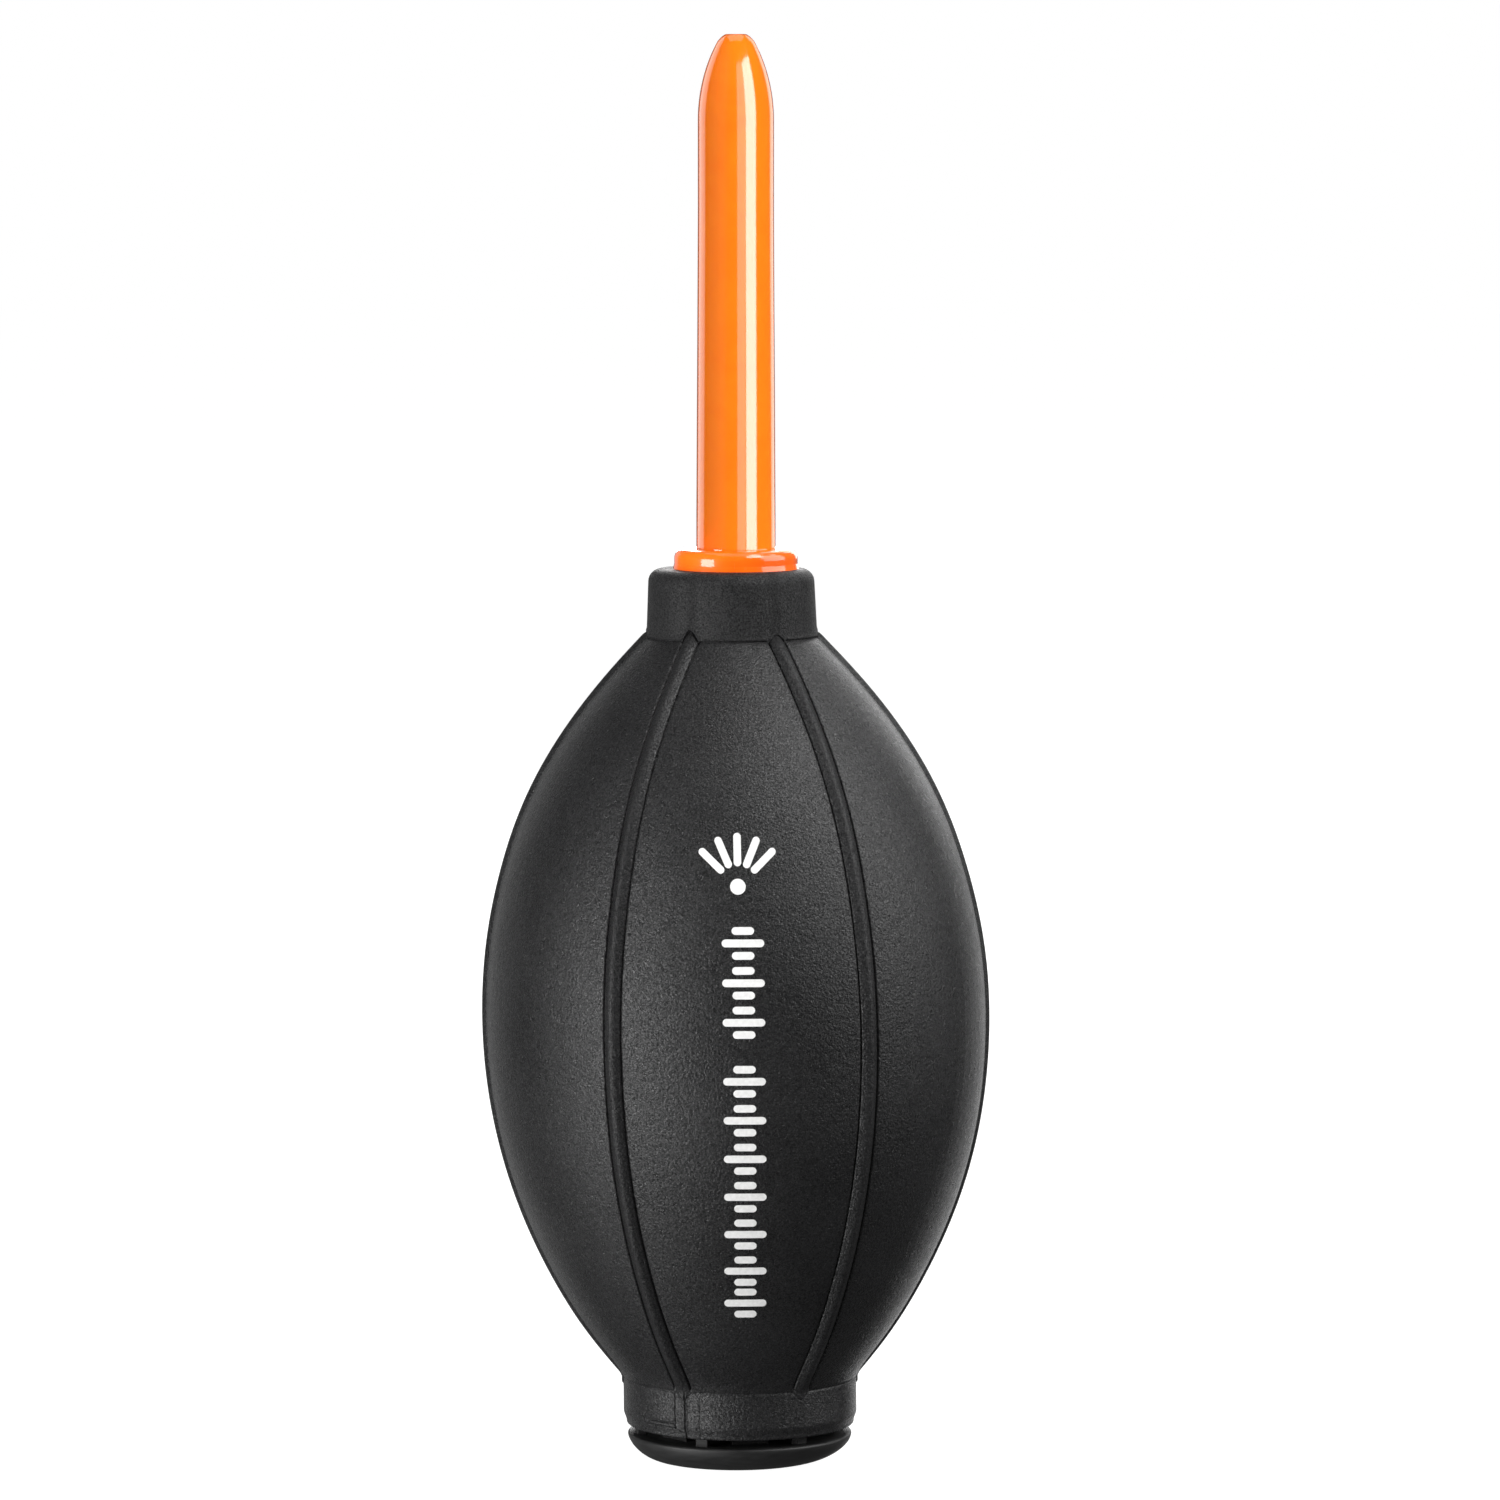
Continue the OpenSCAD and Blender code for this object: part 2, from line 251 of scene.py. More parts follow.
def neck_r(z):
    """Radius of the neck collar's drafted side."""
    draft = (NECK_FOOT_R - NECK_EDGE_R) / (NECK_EDGE_Z - NECK_FOOT_Z)
    return NECK_FOOT_R - draft * (np.asarray(z) - NECK_FOOT_Z)


def collar_r(z):
    """Radius of the base collar, which flares a little above its bottom edge."""
    edge_z = COLLAR_BOTTOM_Z + COLLAR_EDGE
    t = np.clip((z - edge_z) / (COLLAR_FLARE_Z - edge_z), 0, 1)
    return COLLAR_BOTTOM_R + (COLLAR_R - COLLAR_BOTTOM_R) * t * t * (3 - 2 * t)


def slant(z):
    """Length of the crest line per mm of height."""
    return np.sqrt(1 + ((crest(z + 0.05) - crest(z - 0.05)) / 0.1) ** 2)


def rib_profile(d):
    """Height of a rib as a share of its full height, d mm from its centre line."""
    return np.cos(np.clip(np.abs(d) / RIB_HALF_W, 0, 1) * math.pi / 2) ** 1.4


def skin_r(d, z):
    """Radius of the belly's outside, d mm from a rib's centre line."""
    crease = CREASE_DEPTH * bump_at(np.abs(d), CREASE_D, CREASE_W)
    fillet = FILLET * np.exp(-np.maximum(z - FILLET_Z, 0) / FILLET_FADE)
    gore = crest(z) - RIB_H * slant(z) + fillet
    rise = np.maximum(crest(z) - gore, FOOT_PROUD)
    return gore + rise * rib_profile(d) - crease * slant(z)


def wobble(theta, z):
    """The slight unevenness of a soft moulding."""
    return (
        0.035 * np.sin(2 * theta + 1.3 + z / 17)
        + 0.02 * np.sin(5 * theta - z / 9)
        + 0.012 * np.sin(9 * theta + z / 4.3)
    )


def mould_marks(e, z):
    """Depth of the mould's lines on the base collar, e mm round from the parting rib's centre."""
    low = z < 9.6
    parting = 0.2 * bump_at(e, 0.21, 0.06) - 0.05 * bump_at(e, 0.46, 0.1)
    start, end = -1.15, -5.8
    insert = 0.2 * bump_at(e, start, 0.06) * (z > 5.3)
    lines = (0.22 * bump_at(z, 5.92, 0.07) + 0.18 * bump_at(z, 5.36, 0.07)) * ((e < start) & (e > end))
    faint = 0.06 * bump_at(e, 2.1, 0.06)
    return low * (parting + insert + lines + faint)


def lean(z):
    """How far the soft moulding leans sideways at a height."""
    return LEAN * (MIDDLE_Z - z)


# Distances of the mesh's columns from a rib's centre line, closest at the parting line and the crease
RIB_COLUMNS = [
    0, 0.08, 0.15, 0.21, 0.27, 0.34, 0.46, 0.53, 0.59, 0.65, 0.72, 0.82, 0.9, 0.96, 1.01, 1.05, 1.09,
    1.15, 1.21, 1.28, 1.42, 1.7, 1.97, 2.05, 2.1, 2.15, 2.23, 2.4,
]
GORE_COLUMNS = 13


def half_columns(first_angle):
    """(angle of the rib on the left, d, share) of each column over half a turn; d is nan in a gore."""
    side = np.array(RIB_COLUMNS)
    both = np.concatenate([-side[:0:-1], side])
    cols = []
    for k in range(RIBS_PER_HALF + 1):
        phi = first_angle + RIB_STEP * k
        here = side if k == 0 else (-side[::-1] if k == RIBS_PER_HALF else both)
        cols += [(phi, d, np.nan) for d in here]
        if k < RIBS_PER_HALF:
            cols += [(phi, np.nan, (i + 1) / (GORE_COLUMNS + 1)) for i in range(GORE_COLUMNS)]
    return np.array(cols).T


def column_angle(cols, r):
    """Angle of each column where the skin's radius is r; r has one value per column in its last axis."""
    phi, d, share = cols
    edge = np.arcsin(RIB_COLUMNS[-1] / r)
    in_rib = np.radians(phi) + np.arcsin(np.nan_to_num(d) / r)
    in_gore = np.radians(phi) + edge + np.nan_to_num(share) * (math.radians(RIB_STEP) - 2 * edge)
    return np.where(np.isnan(d), in_gore, in_rib)


def crossing(f, zs):
    """Height at which f, per column, first goes below 0 along zs."""
    below = f < 0
    i = np.argmax(below, axis=0)
    j = np.arange(f.shape[1])
    f0, f1 = f[i - 1, j], f[i, j]
    return zs[i - 1] + (zs[i] - zs[i - 1]) * f0 / (f0 - f1)


def border_lines(rib, d):
    """Heights at which the belly meets the base collar and the neck collar, per column."""
    down = np.linspace(13, 7.5, 551)
    base_line = crossing(skin_r(PLAIN, down[:, None]) - COLLAR_R, down)
    up = np.linspace(95.2, 100, 481)
    neck_line = crossing(skin_r(d[None], up[:, None]) - neck_r(up)[:, None], up)
    notch = np.where(rib == PARTING_RIB, NOTCH, NOTCH_ELSEWHERE) * bump_at(d, NOTCH_D, NOTCH_W)
    return base_line - FOOT_OVERLAP * bump_at(d, 0, FOOT_OVERLAP_W), neck_line + notch


# The next four functions give the rows of the bulb's mesh in order. Each row is its heights, its radii
# and the radii at which its columns' angles are worked out.
def collar_rows(base_line):
    """Bore at the foot, bottom face and base collar."""
    for z in (HOUSING_TOP_Z, 11.5, 9, 6.5, 4.4):
        yield z, HOUSING_R, COLLAR_R
    yield COLLAR_BOTTOM_Z + 0.03, HOUSING_R + 0.12, COLLAR_R
    yield COLLAR_BOTTOM_Z, HOUSING_R + 0.8, COLLAR_R
    for a in np.radians([0, 30, 60, 90]):
        z = COLLAR_BOTTOM_Z + COLLAR_EDGE * (1 - np.cos(a))
        yield z, COLLAR_BOTTOM_R + COLLAR_EDGE * (np.sin(a) - 1), COLLAR_R
    for z in np.linspace(4.5, MARKS_TOP_Z, 27):
        yield z, collar_r(z), COLLAR_R
    for t in np.linspace(0, 1, 9)[1:]:
        yield MARKS_TOP_Z + t * (base_line - 1.0 - MARKS_TOP_Z), COLLAR_R, COLLAR_R
    for off in (0.6, 0.35, 0.2, 0.1, 0.03):
        lip = 0.015 * bump_at(off, 0.2, 0.12) - 0.07 * bump_at(off, 0, 0.1)
        yield base_line - off, COLLAR_R + lip, COLLAR_R


def belly_rows(cols, d, base_line, neck_line):
    """Outside of the belly, with a dip where it meets each collar."""
    gap = np.array([0.03, 0.1, 0.2, 0.35, 0.55, 0.85, 1.3, 1.9])
    middle = neck_line - base_line - 2 * gap[-1]
    places = [(base_line + off, 0.09 * bump_at(off, 0, 0.16)) for off in gap]
    places += [(base_line + gap[-1] + t * middle, 0) for t in np.linspace(0, 1, 80)[1:-1]]
    places += [(neck_line - off, 0.14 * bump_at(off, 0, 0.2)) for off in gap[::-1]]
    for z, dip in places:
        plain = skin_r(PLAIN, z)
        beside = np.where(z > MIDDLE_Z, neck_r(np.minimum(z, 99.4)), COLLAR_R)
        ref = np.where((z > 90) | (z < 15), np.maximum(plain, beside), plain)
        fade = np.clip((z - 10) / 6, 0, 1) * np.clip((97 - z) / 6, 0, 1)
        foot = np.where(z < MIDDLE_Z, COLLAR_R + FOOT_PROUD * rib_profile(d), 0)
        uneven = wobble(column_angle(cols, ref), z) * fade
        yield z, np.maximum(skin_r(d, z), foot) - dip + uneven, ref


def neck_rows(neck_line):
    """Neck collar with an uneven lip at its foot, its round edge and its top face."""
    for off in (0.03, 0.1, 0.2, 0.35, 0.6, 1.0):
        z = neck_line + off
        lip = 0.09 * bump_at(off, 0.22, 0.14) - 0.08 * bump_at(off, 0, 0.08)
        yield z, neck_r(z) + lip, neck_r(z)
    for t in np.linspace(0, 1, 12)[1:]:
        z = neck_line + 1.0 + t * (NECK_EDGE_Z - neck_line - 1.0)
        yield z, neck_r(z), neck_r(z)
    for a in np.radians([8, 16, 25, 35, 45, 55, 65, 75, 83, 90]):
        z = NECK_EDGE_Z + (NECK_TOP_Z - NECK_EDGE_Z) * np.sin(a)
        yield z, NECK_EDGE_R + NECK_EDGE_W * (np.cos(a) - 1), NECK_EDGE_R
    for r in (7.6, 7.0, 6.5):
        yield NECK_TOP_Z, r, NECK_EDGE_R


def inner_rows():
    """Bore of the neck and inside of the belly."""
    yield NECK_TOP_Z, NECK_BORE_R + 0.08, NECK_EDGE_R
    for z in (NECK_TOP_Z - 0.08, 103, 100, 98):
        yield z, NECK_BORE_R, NECK_EDGE_R
    for z in np.linspace(INNER_TOP_Z, HOUSING_TOP_Z + 0.3, 26):
        r = crest(z) - (RIB_H + WALL) * slant(z)
        yield z, np.maximum(r, NECK_BORE_R), np.maximum(skin_r(PLAIN, z), NECK_FOOT_R)


def bulb_half(name, first_angle):
    """The front or the rear half of the bulb, over half a turn from first_angle."""
    cols = half_columns(first_angle)
    d = np.where(np.isnan(cols[1]), PLAIN, cols[1])
    base_line, neck_line = border_lines(cols[0], d)
    leaning = [*collar_rows(base_line), *belly_rows(cols, d, base_line, neck_line), *neck_rows(neck_line)]
    rows = leaning + list(inner_rows())
    z, r, ref = (np.array([np.broadcast_to(row[i], len(d)) for row in rows]) for i in range(3))
    leans = np.arange(len(rows))[:, None] < len(leaning)
    theta = column_angle(cols, ref)
    turn = (np.degrees(theta) - PARTING_RIB + 180) % 360 - 180
    r = r - np.where(leans & (r > MARKS_FROM_R), mould_marks(np.radians(turn) * COLLAR_R, z), 0)
    grid = np.stack([r * np.cos(theta), r * np.sin(theta), z], axis=-1)
    grid[..., 0] += np.where(leans, lean(z), 0)
    grid[:, 0, 1] = grid[:, -1, 1] = 0.0
    return shell(name, grid, rib_profile(d))


def unit(v):
    return v / np.maximum(np.linalg.norm(v, axis=-1, keepdims=True), 1e-12)


def shell(name, grid, rib_share):
    """Closed mesh from a grid whose rows loop round the wall and whose end columns lie on y = 0."""
    rows, n = grid.shape[:2]
    belly_row = rows // 3
    below = np.roll(grid, -1, axis=0)
    face = unit(np.cross(grid[:, 1:] - below[:, :-1], below[:, 1:] - grid[:, :-1]))
    mirrored = face * np.array([1, -1, 1])
    face = np.concatenate([mirrored[:, :1], face, mirrored[:, -1:]], axis=1)
    normal = face[:, 1:] + face[:, :-1]
    normal = unit(normal + np.roll(normal, 1, axis=0))
    at = np.arange(rows * n).reshape(rows, n)
    under = np.roll(at, -1, axis=0)
    quads = np.stack([at[:, :-1], at[:, 1:], under[:, 1:], under[:, :-1]], axis=-1).reshape(-1, 4)
    if (normal * grid)[belly_row, :, :2].sum() < 0:
        normal, quads = -normal, quads[:, ::-1]
    ends = [at[:, 0].tolist(), at[:, -1][::-1].tolist()]
    mesh = bpy.data.meshes.new(name)
    mesh.from_pydata((grid.reshape(-1, 3) * MM).tolist(), [], quads.tolist() + ends)
    mesh.polygons.foreach_set("use_smooth", [True] * len(mesh.polygons))
    side = 1.0 if grid[:, :, 1].mean() < 0 else -1.0
    loops = normal.reshape(-1, 3)[quads.ravel()].tolist() + [(0, side, 0)] * (2 * rows)
    mesh.normals_split_custom_set(loops)
    rest = mesh.attributes.new("rest", "FLOAT_VECTOR", "POINT")
    rest.data.foreach_set("vector", grid.reshape(-1).astype(np.float32))
    rib = mesh.attributes.new("rib", "FLOAT", "POINT")
    rib.data.foreach_set("value", np.tile(rib_share, rows).astype(np.float32))
    return add_object(name, mesh)


# ---------------------------------------------------------------- printed graphic
INK_LIFT, INK_SINK = 0.03, 0.08
DOT_U, DOT_Z, DOT_R = -0.2, 70.75, 0.9
RAY_ANGLES = (-46, -23, 0, 23, 46)
RAY_START, RAY_L, RAY_HALF_W = 2.7, 2.86, 0.43
PUFF_U = 0.28
PUFF_HEIGHTS = (64.4, 59.9, 55.4, 48.6, 44.05, 39.5, 34.95, 30.4, 25.85, 21.8)
PUFF_BARS = ((-1.4, 1.7), (0, 4.0), (1.4, 1.7))  # height above the puff's middle and length of each bar
BAR_HALF_W = 0.44


def ink_points(u, z):
    """Top and foot of the ink, u mm to the right of the front's middle."""
    skin = float(skin_r(PLAIN, z))
    theta = -math.pi / 2 + u / skin
    points = []
    for dr in (INK_LIFT, -INK_SINK):
        r = skin + float(wobble(theta, z)) + dr
        points.append((r * math.cos(theta) + lean(z), r * math.sin(theta), z))
    return points


def stroke(verts, faces, points, half_w):
    """Adds one round-ended line of ink that follows the front of the belly. points are (u, z)."""
    pts = [Vector(p) for p in points]
    if len(pts) == 1:
        pts.append(pts[0] + Vector((0.001, 0)))
    dirs = [(pts[min(i + 1, len(pts) - 1)] - pts[max(i - 1, 0)]).normalized() for i in range(len(pts))]
    ends = [(half_w * math.cos(t), half_w * math.sin(t)) for t in np.radians([8, 30, 52, 72])]
    sections = [(pts[0] - dirs[0] * reach, dirs[0], w) for reach, w in ends]
    sections += [(p, along, half_w) for p, along in zip(pts, dirs)]
    sections += [(pts[-1] + dirs[-1] * reach, dirs[-1], w) for reach, w in ends[::-1]]
    start = len(verts)
    for centre, along, w in sections:
        across = Vector((-along.y, along.x)) * w
        verts += ink_points(*(centre + across)) + ink_points(*(centre - across))
    end = len(verts) - 4
    for a in range(start, end, 4):
        for i, j in ((0, 2), (3, 1), (1, 0), (2, 3)):
            faces.append((a + i, a + j, a + j + 4, a + i + 4))
    faces += [(start, start + 1, start + 3, start + 2), (end, end + 2, end + 3, end + 1)]


def printed_graphic():
    """A plain picture of moving air with a row of puffs below it."""
    verts, faces = [], []
    dot = Vector((DOT_U, DOT_Z))
    stroke(verts, faces, [dot], DOT_R)
    for turn in np.radians(RAY_ANGLES):
        ray = Vector((math.sin(turn), math.cos(turn)))
        stroke(verts, faces, [dot + ray * (RAY_START + RAY_L * i / 11) for i in range(12)], RAY_HALF_W)
    for middle in PUFF_HEIGHTS:
        for step, length in PUFF_BARS:
            left = PUFF_U - length / 2
            stroke(verts, faces, [(left + length * i / 12, middle + step) for i in range(13)], BAR_HALF_W)
    obj = mesh_object("printed_graphic", verts, faces, 60)
    rest = obj.data.attributes.new("rest", "FLOAT_VECTOR", "POINT")
    co = np.array([v.co for v in obj.data.vertices], np.float32) / MM
    rest.data.foreach_set("vector", co.ravel())
    return obj


# ---------------------------------------------------------------- nozzle and cap
def nozzle_tip():
    """The tip's long arc, then the bend over its nose up to the flat round the outlet."""
    drop = NOZZLE_R - NOSE_R
    rise = TIP_Z - TIP_START_Z - NOSE_L
    arc_r = (rise**2 + drop**2) / (2 * drop)
    points = []
    for a in np.linspace(0, math.asin(rise / arc_r), 21):
        points.append((NOZZLE_R - arc_r * (1 - math.cos(a)), TIP_START_Z + arc_r * math.sin(a)))
    start = Vector((NOSE_R, TIP_Z - NOSE_L))
    bend = Vector((NOSE_BEND_R, TIP_Z - NOSE_BEND_L))
    flat = Vector((NOSE_FLAT_R, TIP_Z))
    for t in np.linspace(0, 1, 6)[1:]:
        points.append(tuple(start * (1 - t) ** 2 + bend * 2 * t * (1 - t) + flat * t**2))
    return points


def nozzle():
    low, high = GROOVE_Z - GROOVE_H / 2, GROOVE_Z + GROOVE_H / 2
    outline = [
        (NOZZLE_FOOT_R - 0.01, NOZZLE_FOOT_Z, 0.35), (NOZZLE_FOOT_R, low, 0.12), (GROOVE_R, low, 0.1),
        (GROOVE_R, high, 0.1), (NOZZLE_FOOT_R, high, 0.12),
    ]
    for t in np.linspace(0, 1, 12)[:-1]:
        r = NOZZLE_FOOT_R + (NOZZLE_R - NOZZLE_FOOT_R) * t
        outline.append((r, RIM_TOP_Z + (LAND_Z - RIM_TOP_Z) * t))
    outline += [(NOZZLE_R, z) for z in np.linspace(LAND_Z, TIP_START_Z, 5)[:-1]]
    outline += nozzle_tip()
    outline += [
        (LIP_R, TIP_Z - LIP_L), (OUTLET_R, TIP_Z - OUTLET_EDGE_L), (OUTLET_R, TIP_Z - OUTLET_L),
        (CHANNEL_R, TIP_Z - OUTLET_L - CHANNEL_TAPER_L), (CHANNEL_R, NOZZLE_FOOT_Z, 0.2),
    ]

    def with_seams(a, r, z):
        """The radius with a mould seam on the left and on the right, above the rim."""
        off = math.radians(abs((math.degrees(a) + 90) % 180 - 90)) * r
        seam = SEAM_H * math.exp(-((off / SEAM_W) ** 2)) if r > CHANNEL_R and z > RIM_TOP_Z else 0
        return r + seam

    return revolve("nozzle_body", rounded(outline), 256, with_seams)


def cap_outline():
    """Underside with its recess, dished edge, round top edge and the top with its track."""
    recess_z = CAP_FOOT_Z + CAP_RECESS_H
    step = rounded([
        (CAP_RECESS_R, recess_z, 0.15), (CAP_RECESS_R, CAP_FOOT_Z, 0.12), (CAP_RECESS_R + 1, CAP_FOOT_Z),
    ])
    outline = [(0, recess_z)] + step[:-1]
    for a in np.radians(np.linspace(0, 90, 19)):
        out = max(math.sin(a), 0) ** CAP_EDGE_POWER
        down = max(math.cos(a), 0) ** CAP_EDGE_POWER
        outline.append((CAP_R - CAP_EDGE_W * (1 - out), CAP_FOOT_Z + CAP_EDGE_H * (1 - down)))
    for a in np.radians(np.linspace(0, 90, 5)):
        r = CAP_R - CAP_TOP_EDGE_W * (1 - math.cos(a))
        outline.append((r, CAP_TOP_Z - CAP_TOP_EDGE_H * (1 - math.sin(a))))
    return outline + [
        (TRACK_OUT_R + TRACK_H, CAP_TOP_Z), (TRACK_OUT_R, CAP_TOP_Z - TRACK_H),
        (TRACK_IN_R, CAP_TOP_Z - TRACK_H), (TRACK_IN_R - 2 * TRACK_H, CAP_TOP_Z), (0, CAP_TOP_Z),
    ]


def base_cap():
    def uneven(a, r, z):
        """The radius with the cap's edge leaning like the bulb and slightly out of true."""
        side = min(max((r - 10) / 3, 0), 1)
        return r + (lean(0) * math.cos(a) * 0.8 + 0.012 * math.sin(7 * a + z * 2.1)) * side

    plate = revolve("base_cap_plate", cap_outline(), 192, uneven)
    verts, faces = [], []
    for k in range(TABS):
        turn = 360 / TABS * k
        block(verts, faces, TAB_R, TAB_Z, TAB_ANGLE + turn, TAB_W)
        block(verts, faces, PRONG_R, PRONG_Z, PRONG_ANGLE + turn, PRONG_W)
    grips = soften_edges(mesh_object("base_cap_grips", verts, faces), 0.12)
    return plate, grips


def foam_disc():
    """The filter foam, with an uneven open-cell surface."""
    lo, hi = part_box("filter_foam")
    radius, z0, z1 = hi.x / MM - 0.05, lo.z / MM, hi.z / MM
    rings, steps, side_rows, depth = 22, 96, 6, 0.16
    side_z = z1 - 0.25
    rng = np.random.default_rng(7)
    verts, faces = [], []
    path = [(radius * i / rings, z1) for i in range(1, rings)]
    path += [(radius - 0.15, z1 - 0.02), (radius, side_z)]
    path += [(radius, side_z - (z1 - z0 - 0.5) * i / side_rows) for i in range(1, side_rows + 1)]
    path += [(radius - 0.15, z0 + 0.03), (radius * 0.5, z0)]
    for r, z in path:
        noise = rng.random(steps) * depth
        for k in range(steps):
            a = 2 * math.pi * k / steps
            dr, dz = (noise[k], 0) if z < z1 - 0.2 else (0, noise[k])
            verts.append(((r - dr) * math.cos(a), (r - dr) * math.sin(a), max(z - dz, z0)))
    for i in range(len(path) - 1):
        for k in range(steps):
            k2 = (k + 1) % steps
            faces.append((i * steps + k, i * steps + k2, (i + 1) * steps + k2, (i + 1) * steps + k))
    top, bottom = len(verts), len(verts) + 1
    verts += [(0, 0, z1 - 0.05), (0, 0, z0)]
    last = (len(path) - 1) * steps
    for k in range(steps):
        k2 = (k + 1) % steps
        faces += [(top, k2, k), (bottom, last + k, last + k2)]
    return mesh_object("filter_foam_disc", verts, faces, 60)


# ---------------------------------------------------------------- materials
class Finish:
    """A small builder for one procedural material."""

    def __init__(self, name, space="object"):
        self.mat = bpy.data.materials.new(name)
        self.mat.use_nodes = True
        self.tree = self.mat.node_tree
        self.tree.nodes.clear()
        out = self.tree.nodes.new("ShaderNodeOutputMaterial")
        self.bsdf = self.tree.nodes.new("ShaderNodeBsdfPrincipled")
        self.link(self.bsdf.outputs["BSDF"], out.inputs["Surface"])
        self.mm = self.coordinates(space)

    def link(self, a, b):
        self.tree.links.new(a, b)

    def coordinates(self, space):
        """Position on the piece at rest, in mm."""
        if space == "rest":
            node = self.tree.nodes.new("ShaderNodeAttribute")
            node.attribute_name = "rest"
            return node.outputs["Vector"]
        node = self.tree.nodes.new("ShaderNodeTexCoord")
        scale = self.tree.nodes.new("ShaderNodeVectorMath")
        scale.operation = "SCALE"
        scale.inputs["Scale"].default_value = 1000
        self.link(node.outputs["Object"], scale.inputs[0])
        return scale.outputs["Vector"]

    def stretch(self, x, y, z):
        node = self.tree.nodes.new("ShaderNodeVectorMath")
        node.operation = "MULTIPLY"
        self.link(self.mm, node.inputs[0])
        node.inputs[1].default_value = (x, y, z)
        return node.outputs["Vector"]

    def height(self):
        node = self.tree.nodes.new("ShaderNodeSeparateXYZ")
        self.link(self.mm, node.inputs[0])
        return node.outputs["Z"]

    def attribute(self, name):
        node = self.tree.nodes.new("ShaderNodeAttribute")
        node.attribute_name = name
        return node.outputs["Fac"]

    def noise(self, per_mm, detail=3, rough=0.55, distortion=0, vector=None):
        node = self.tree.nodes.new("ShaderNodeTexNoise")
        self.link(vector or self.mm, node.inputs["Vector"])
        node.inputs["Scale"].default_value = per_mm
        node.inputs["Detail"].default_value = detail
        node.inputs["Roughness"].default_value = rough
        node.inputs["Distortion"].default_value = distortion
        return node.outputs["Fac"]

    def cells(self, per_mm):
        """Distance to the nearest edge between cells."""
        node = self.tree.nodes.new("ShaderNodeTexVoronoi")
        node.feature = "DISTANCE_TO_EDGE"
        self.link(self.mm, node.inputs["Vector"])
        node.inputs["Scale"].default_value = per_mm
        return node.outputs["Distance"]

    def level(self, value, low, high, to_low, to_high):
        node = self.tree.nodes.new("ShaderNodeMapRange")
        self.link(value, node.inputs["Value"])
        for key, v in (("From Min", low), ("From Max", high), ("To Min", to_low), ("To Max", to_high)):
            node.inputs[key].default_value = v
        return node.outputs["Result"]

    def maths(self, operation, a, b):
        node = self.tree.nodes.new("ShaderNodeMath")
        node.operation = operation
        for i, v in enumerate((a, b)):
            if isinstance(v, (int, float)):
                node.inputs[i].default_value = v
            else:
                self.link(v, node.inputs[i])
        return node.outputs[0]

    def blend(self, share, dark, light):
        node = self.tree.nodes.new("ShaderNodeMix")
        node.data_type = "RGBA"
        self.link(share, node.inputs[0])
        for i, c in ((6, dark), (7, light)):
            if isinstance(c, tuple):
                node.inputs[i].default_value = (*c, 1)
            else:
                self.link(c, node.inputs[i])
        return node.outputs[2]

    def bump(self, height, depth_mm, strength=1.0, under=None):
        node = self.tree.nodes.new("ShaderNodeBump")
        node.inputs["Strength"].default_value = strength
        node.inputs["Distance"].default_value = depth_mm * MM
        self.link(height, node.inputs["Height"])
        if under is not None:
            self.link(under, node.inputs["Normal"])
        return node.outputs["Normal"]

    def set(self, **inputs):
        names = {
            "colour": "Base Color", "rough": "Roughness", "normal": "Normal", "metal": "Metallic",
            "specular": "Specular IOR Level", "sheen": "Sheen Weight",
            "coat": "Coat Weight", "coat_rough": "Coat Roughness", "coat_ior": "Coat IOR",
            "scatter": "Subsurface Weight", "scatter_scale": "Subsurface Scale",
        }
        for key, v in inputs.items():
            socket = self.bsdf.inputs[names[key]]
            if isinstance(v, (int, float)):
                socket.default_value = v
            elif isinstance(v, tuple):
                socket.default_value = (*v, 1)
            else:
                self.link(v, socket)
        return self.mat


def rubber():
    f = Finish("black_rubber_grained", "rest")
    rib = f.attribute("rib")
    patches = f.noise(0.09, 3, 0.6)
    grain = f.noise(3.0, 3, 0.7)
    glints = f.noise(5.5, 2, 0.6)
    pores = f.cells(2.1)
    folds = f.noise(0.75, 4, 0.55, 0.8)
    creases = f.cells(0.55)
    tone = f.maths("ADD", f.maths("MULTIPLY", patches, 0.3), f.maths("MULTIPLY", grain, 0.7))
    colour = f.blend(f.level(tone, 0.35, 0.65, 0, 1), (0.006, 0.006, 0.0063), (0.02, 0.02, 0.0205))
    worn = f.blend(f.maths("MULTIPLY", rib, 0.15), colour, (0.022, 0.022, 0.0225))
    rough = f.level(f.noise(1.4, 3), 0.3, 0.7, 0.25, 0.34)
    collar = f.level(f.height(), NECK_FOOT_Z - 0.3, NECK_FOOT_Z, 0, 1)
    rough = f.maths("ADD", rough, f.maths("MULTIPLY", collar, 0.25))
    rough = f.maths("ADD", rough, f.maths("MULTIPLY", rib, 0.07))
    shine = f.level(glints, 0.34, 0.66, 0.04, 0.56)
    shine = f.maths("MULTIPLY", shine, f.level(collar, 0, 1, 1, 0.75))
    shine = f.maths("MULTIPLY", shine, f.level(rib, 0, 1, 1, 0.7))
    normal = f.bump(f.level(creases, 0, 0.12, 0, 1), 0.006, 0.5)
    normal = f.bump(folds, 0.03, 0.5, normal)
    normal = f.bump(f.level(pores, 0, 0.1, 0, 1), 0.012, 0.8, normal)
    normal = f.bump(grain, 0.14, 1.0, normal)
    return f.set(colour=worn, rough=rough, normal=normal, specular=shine)


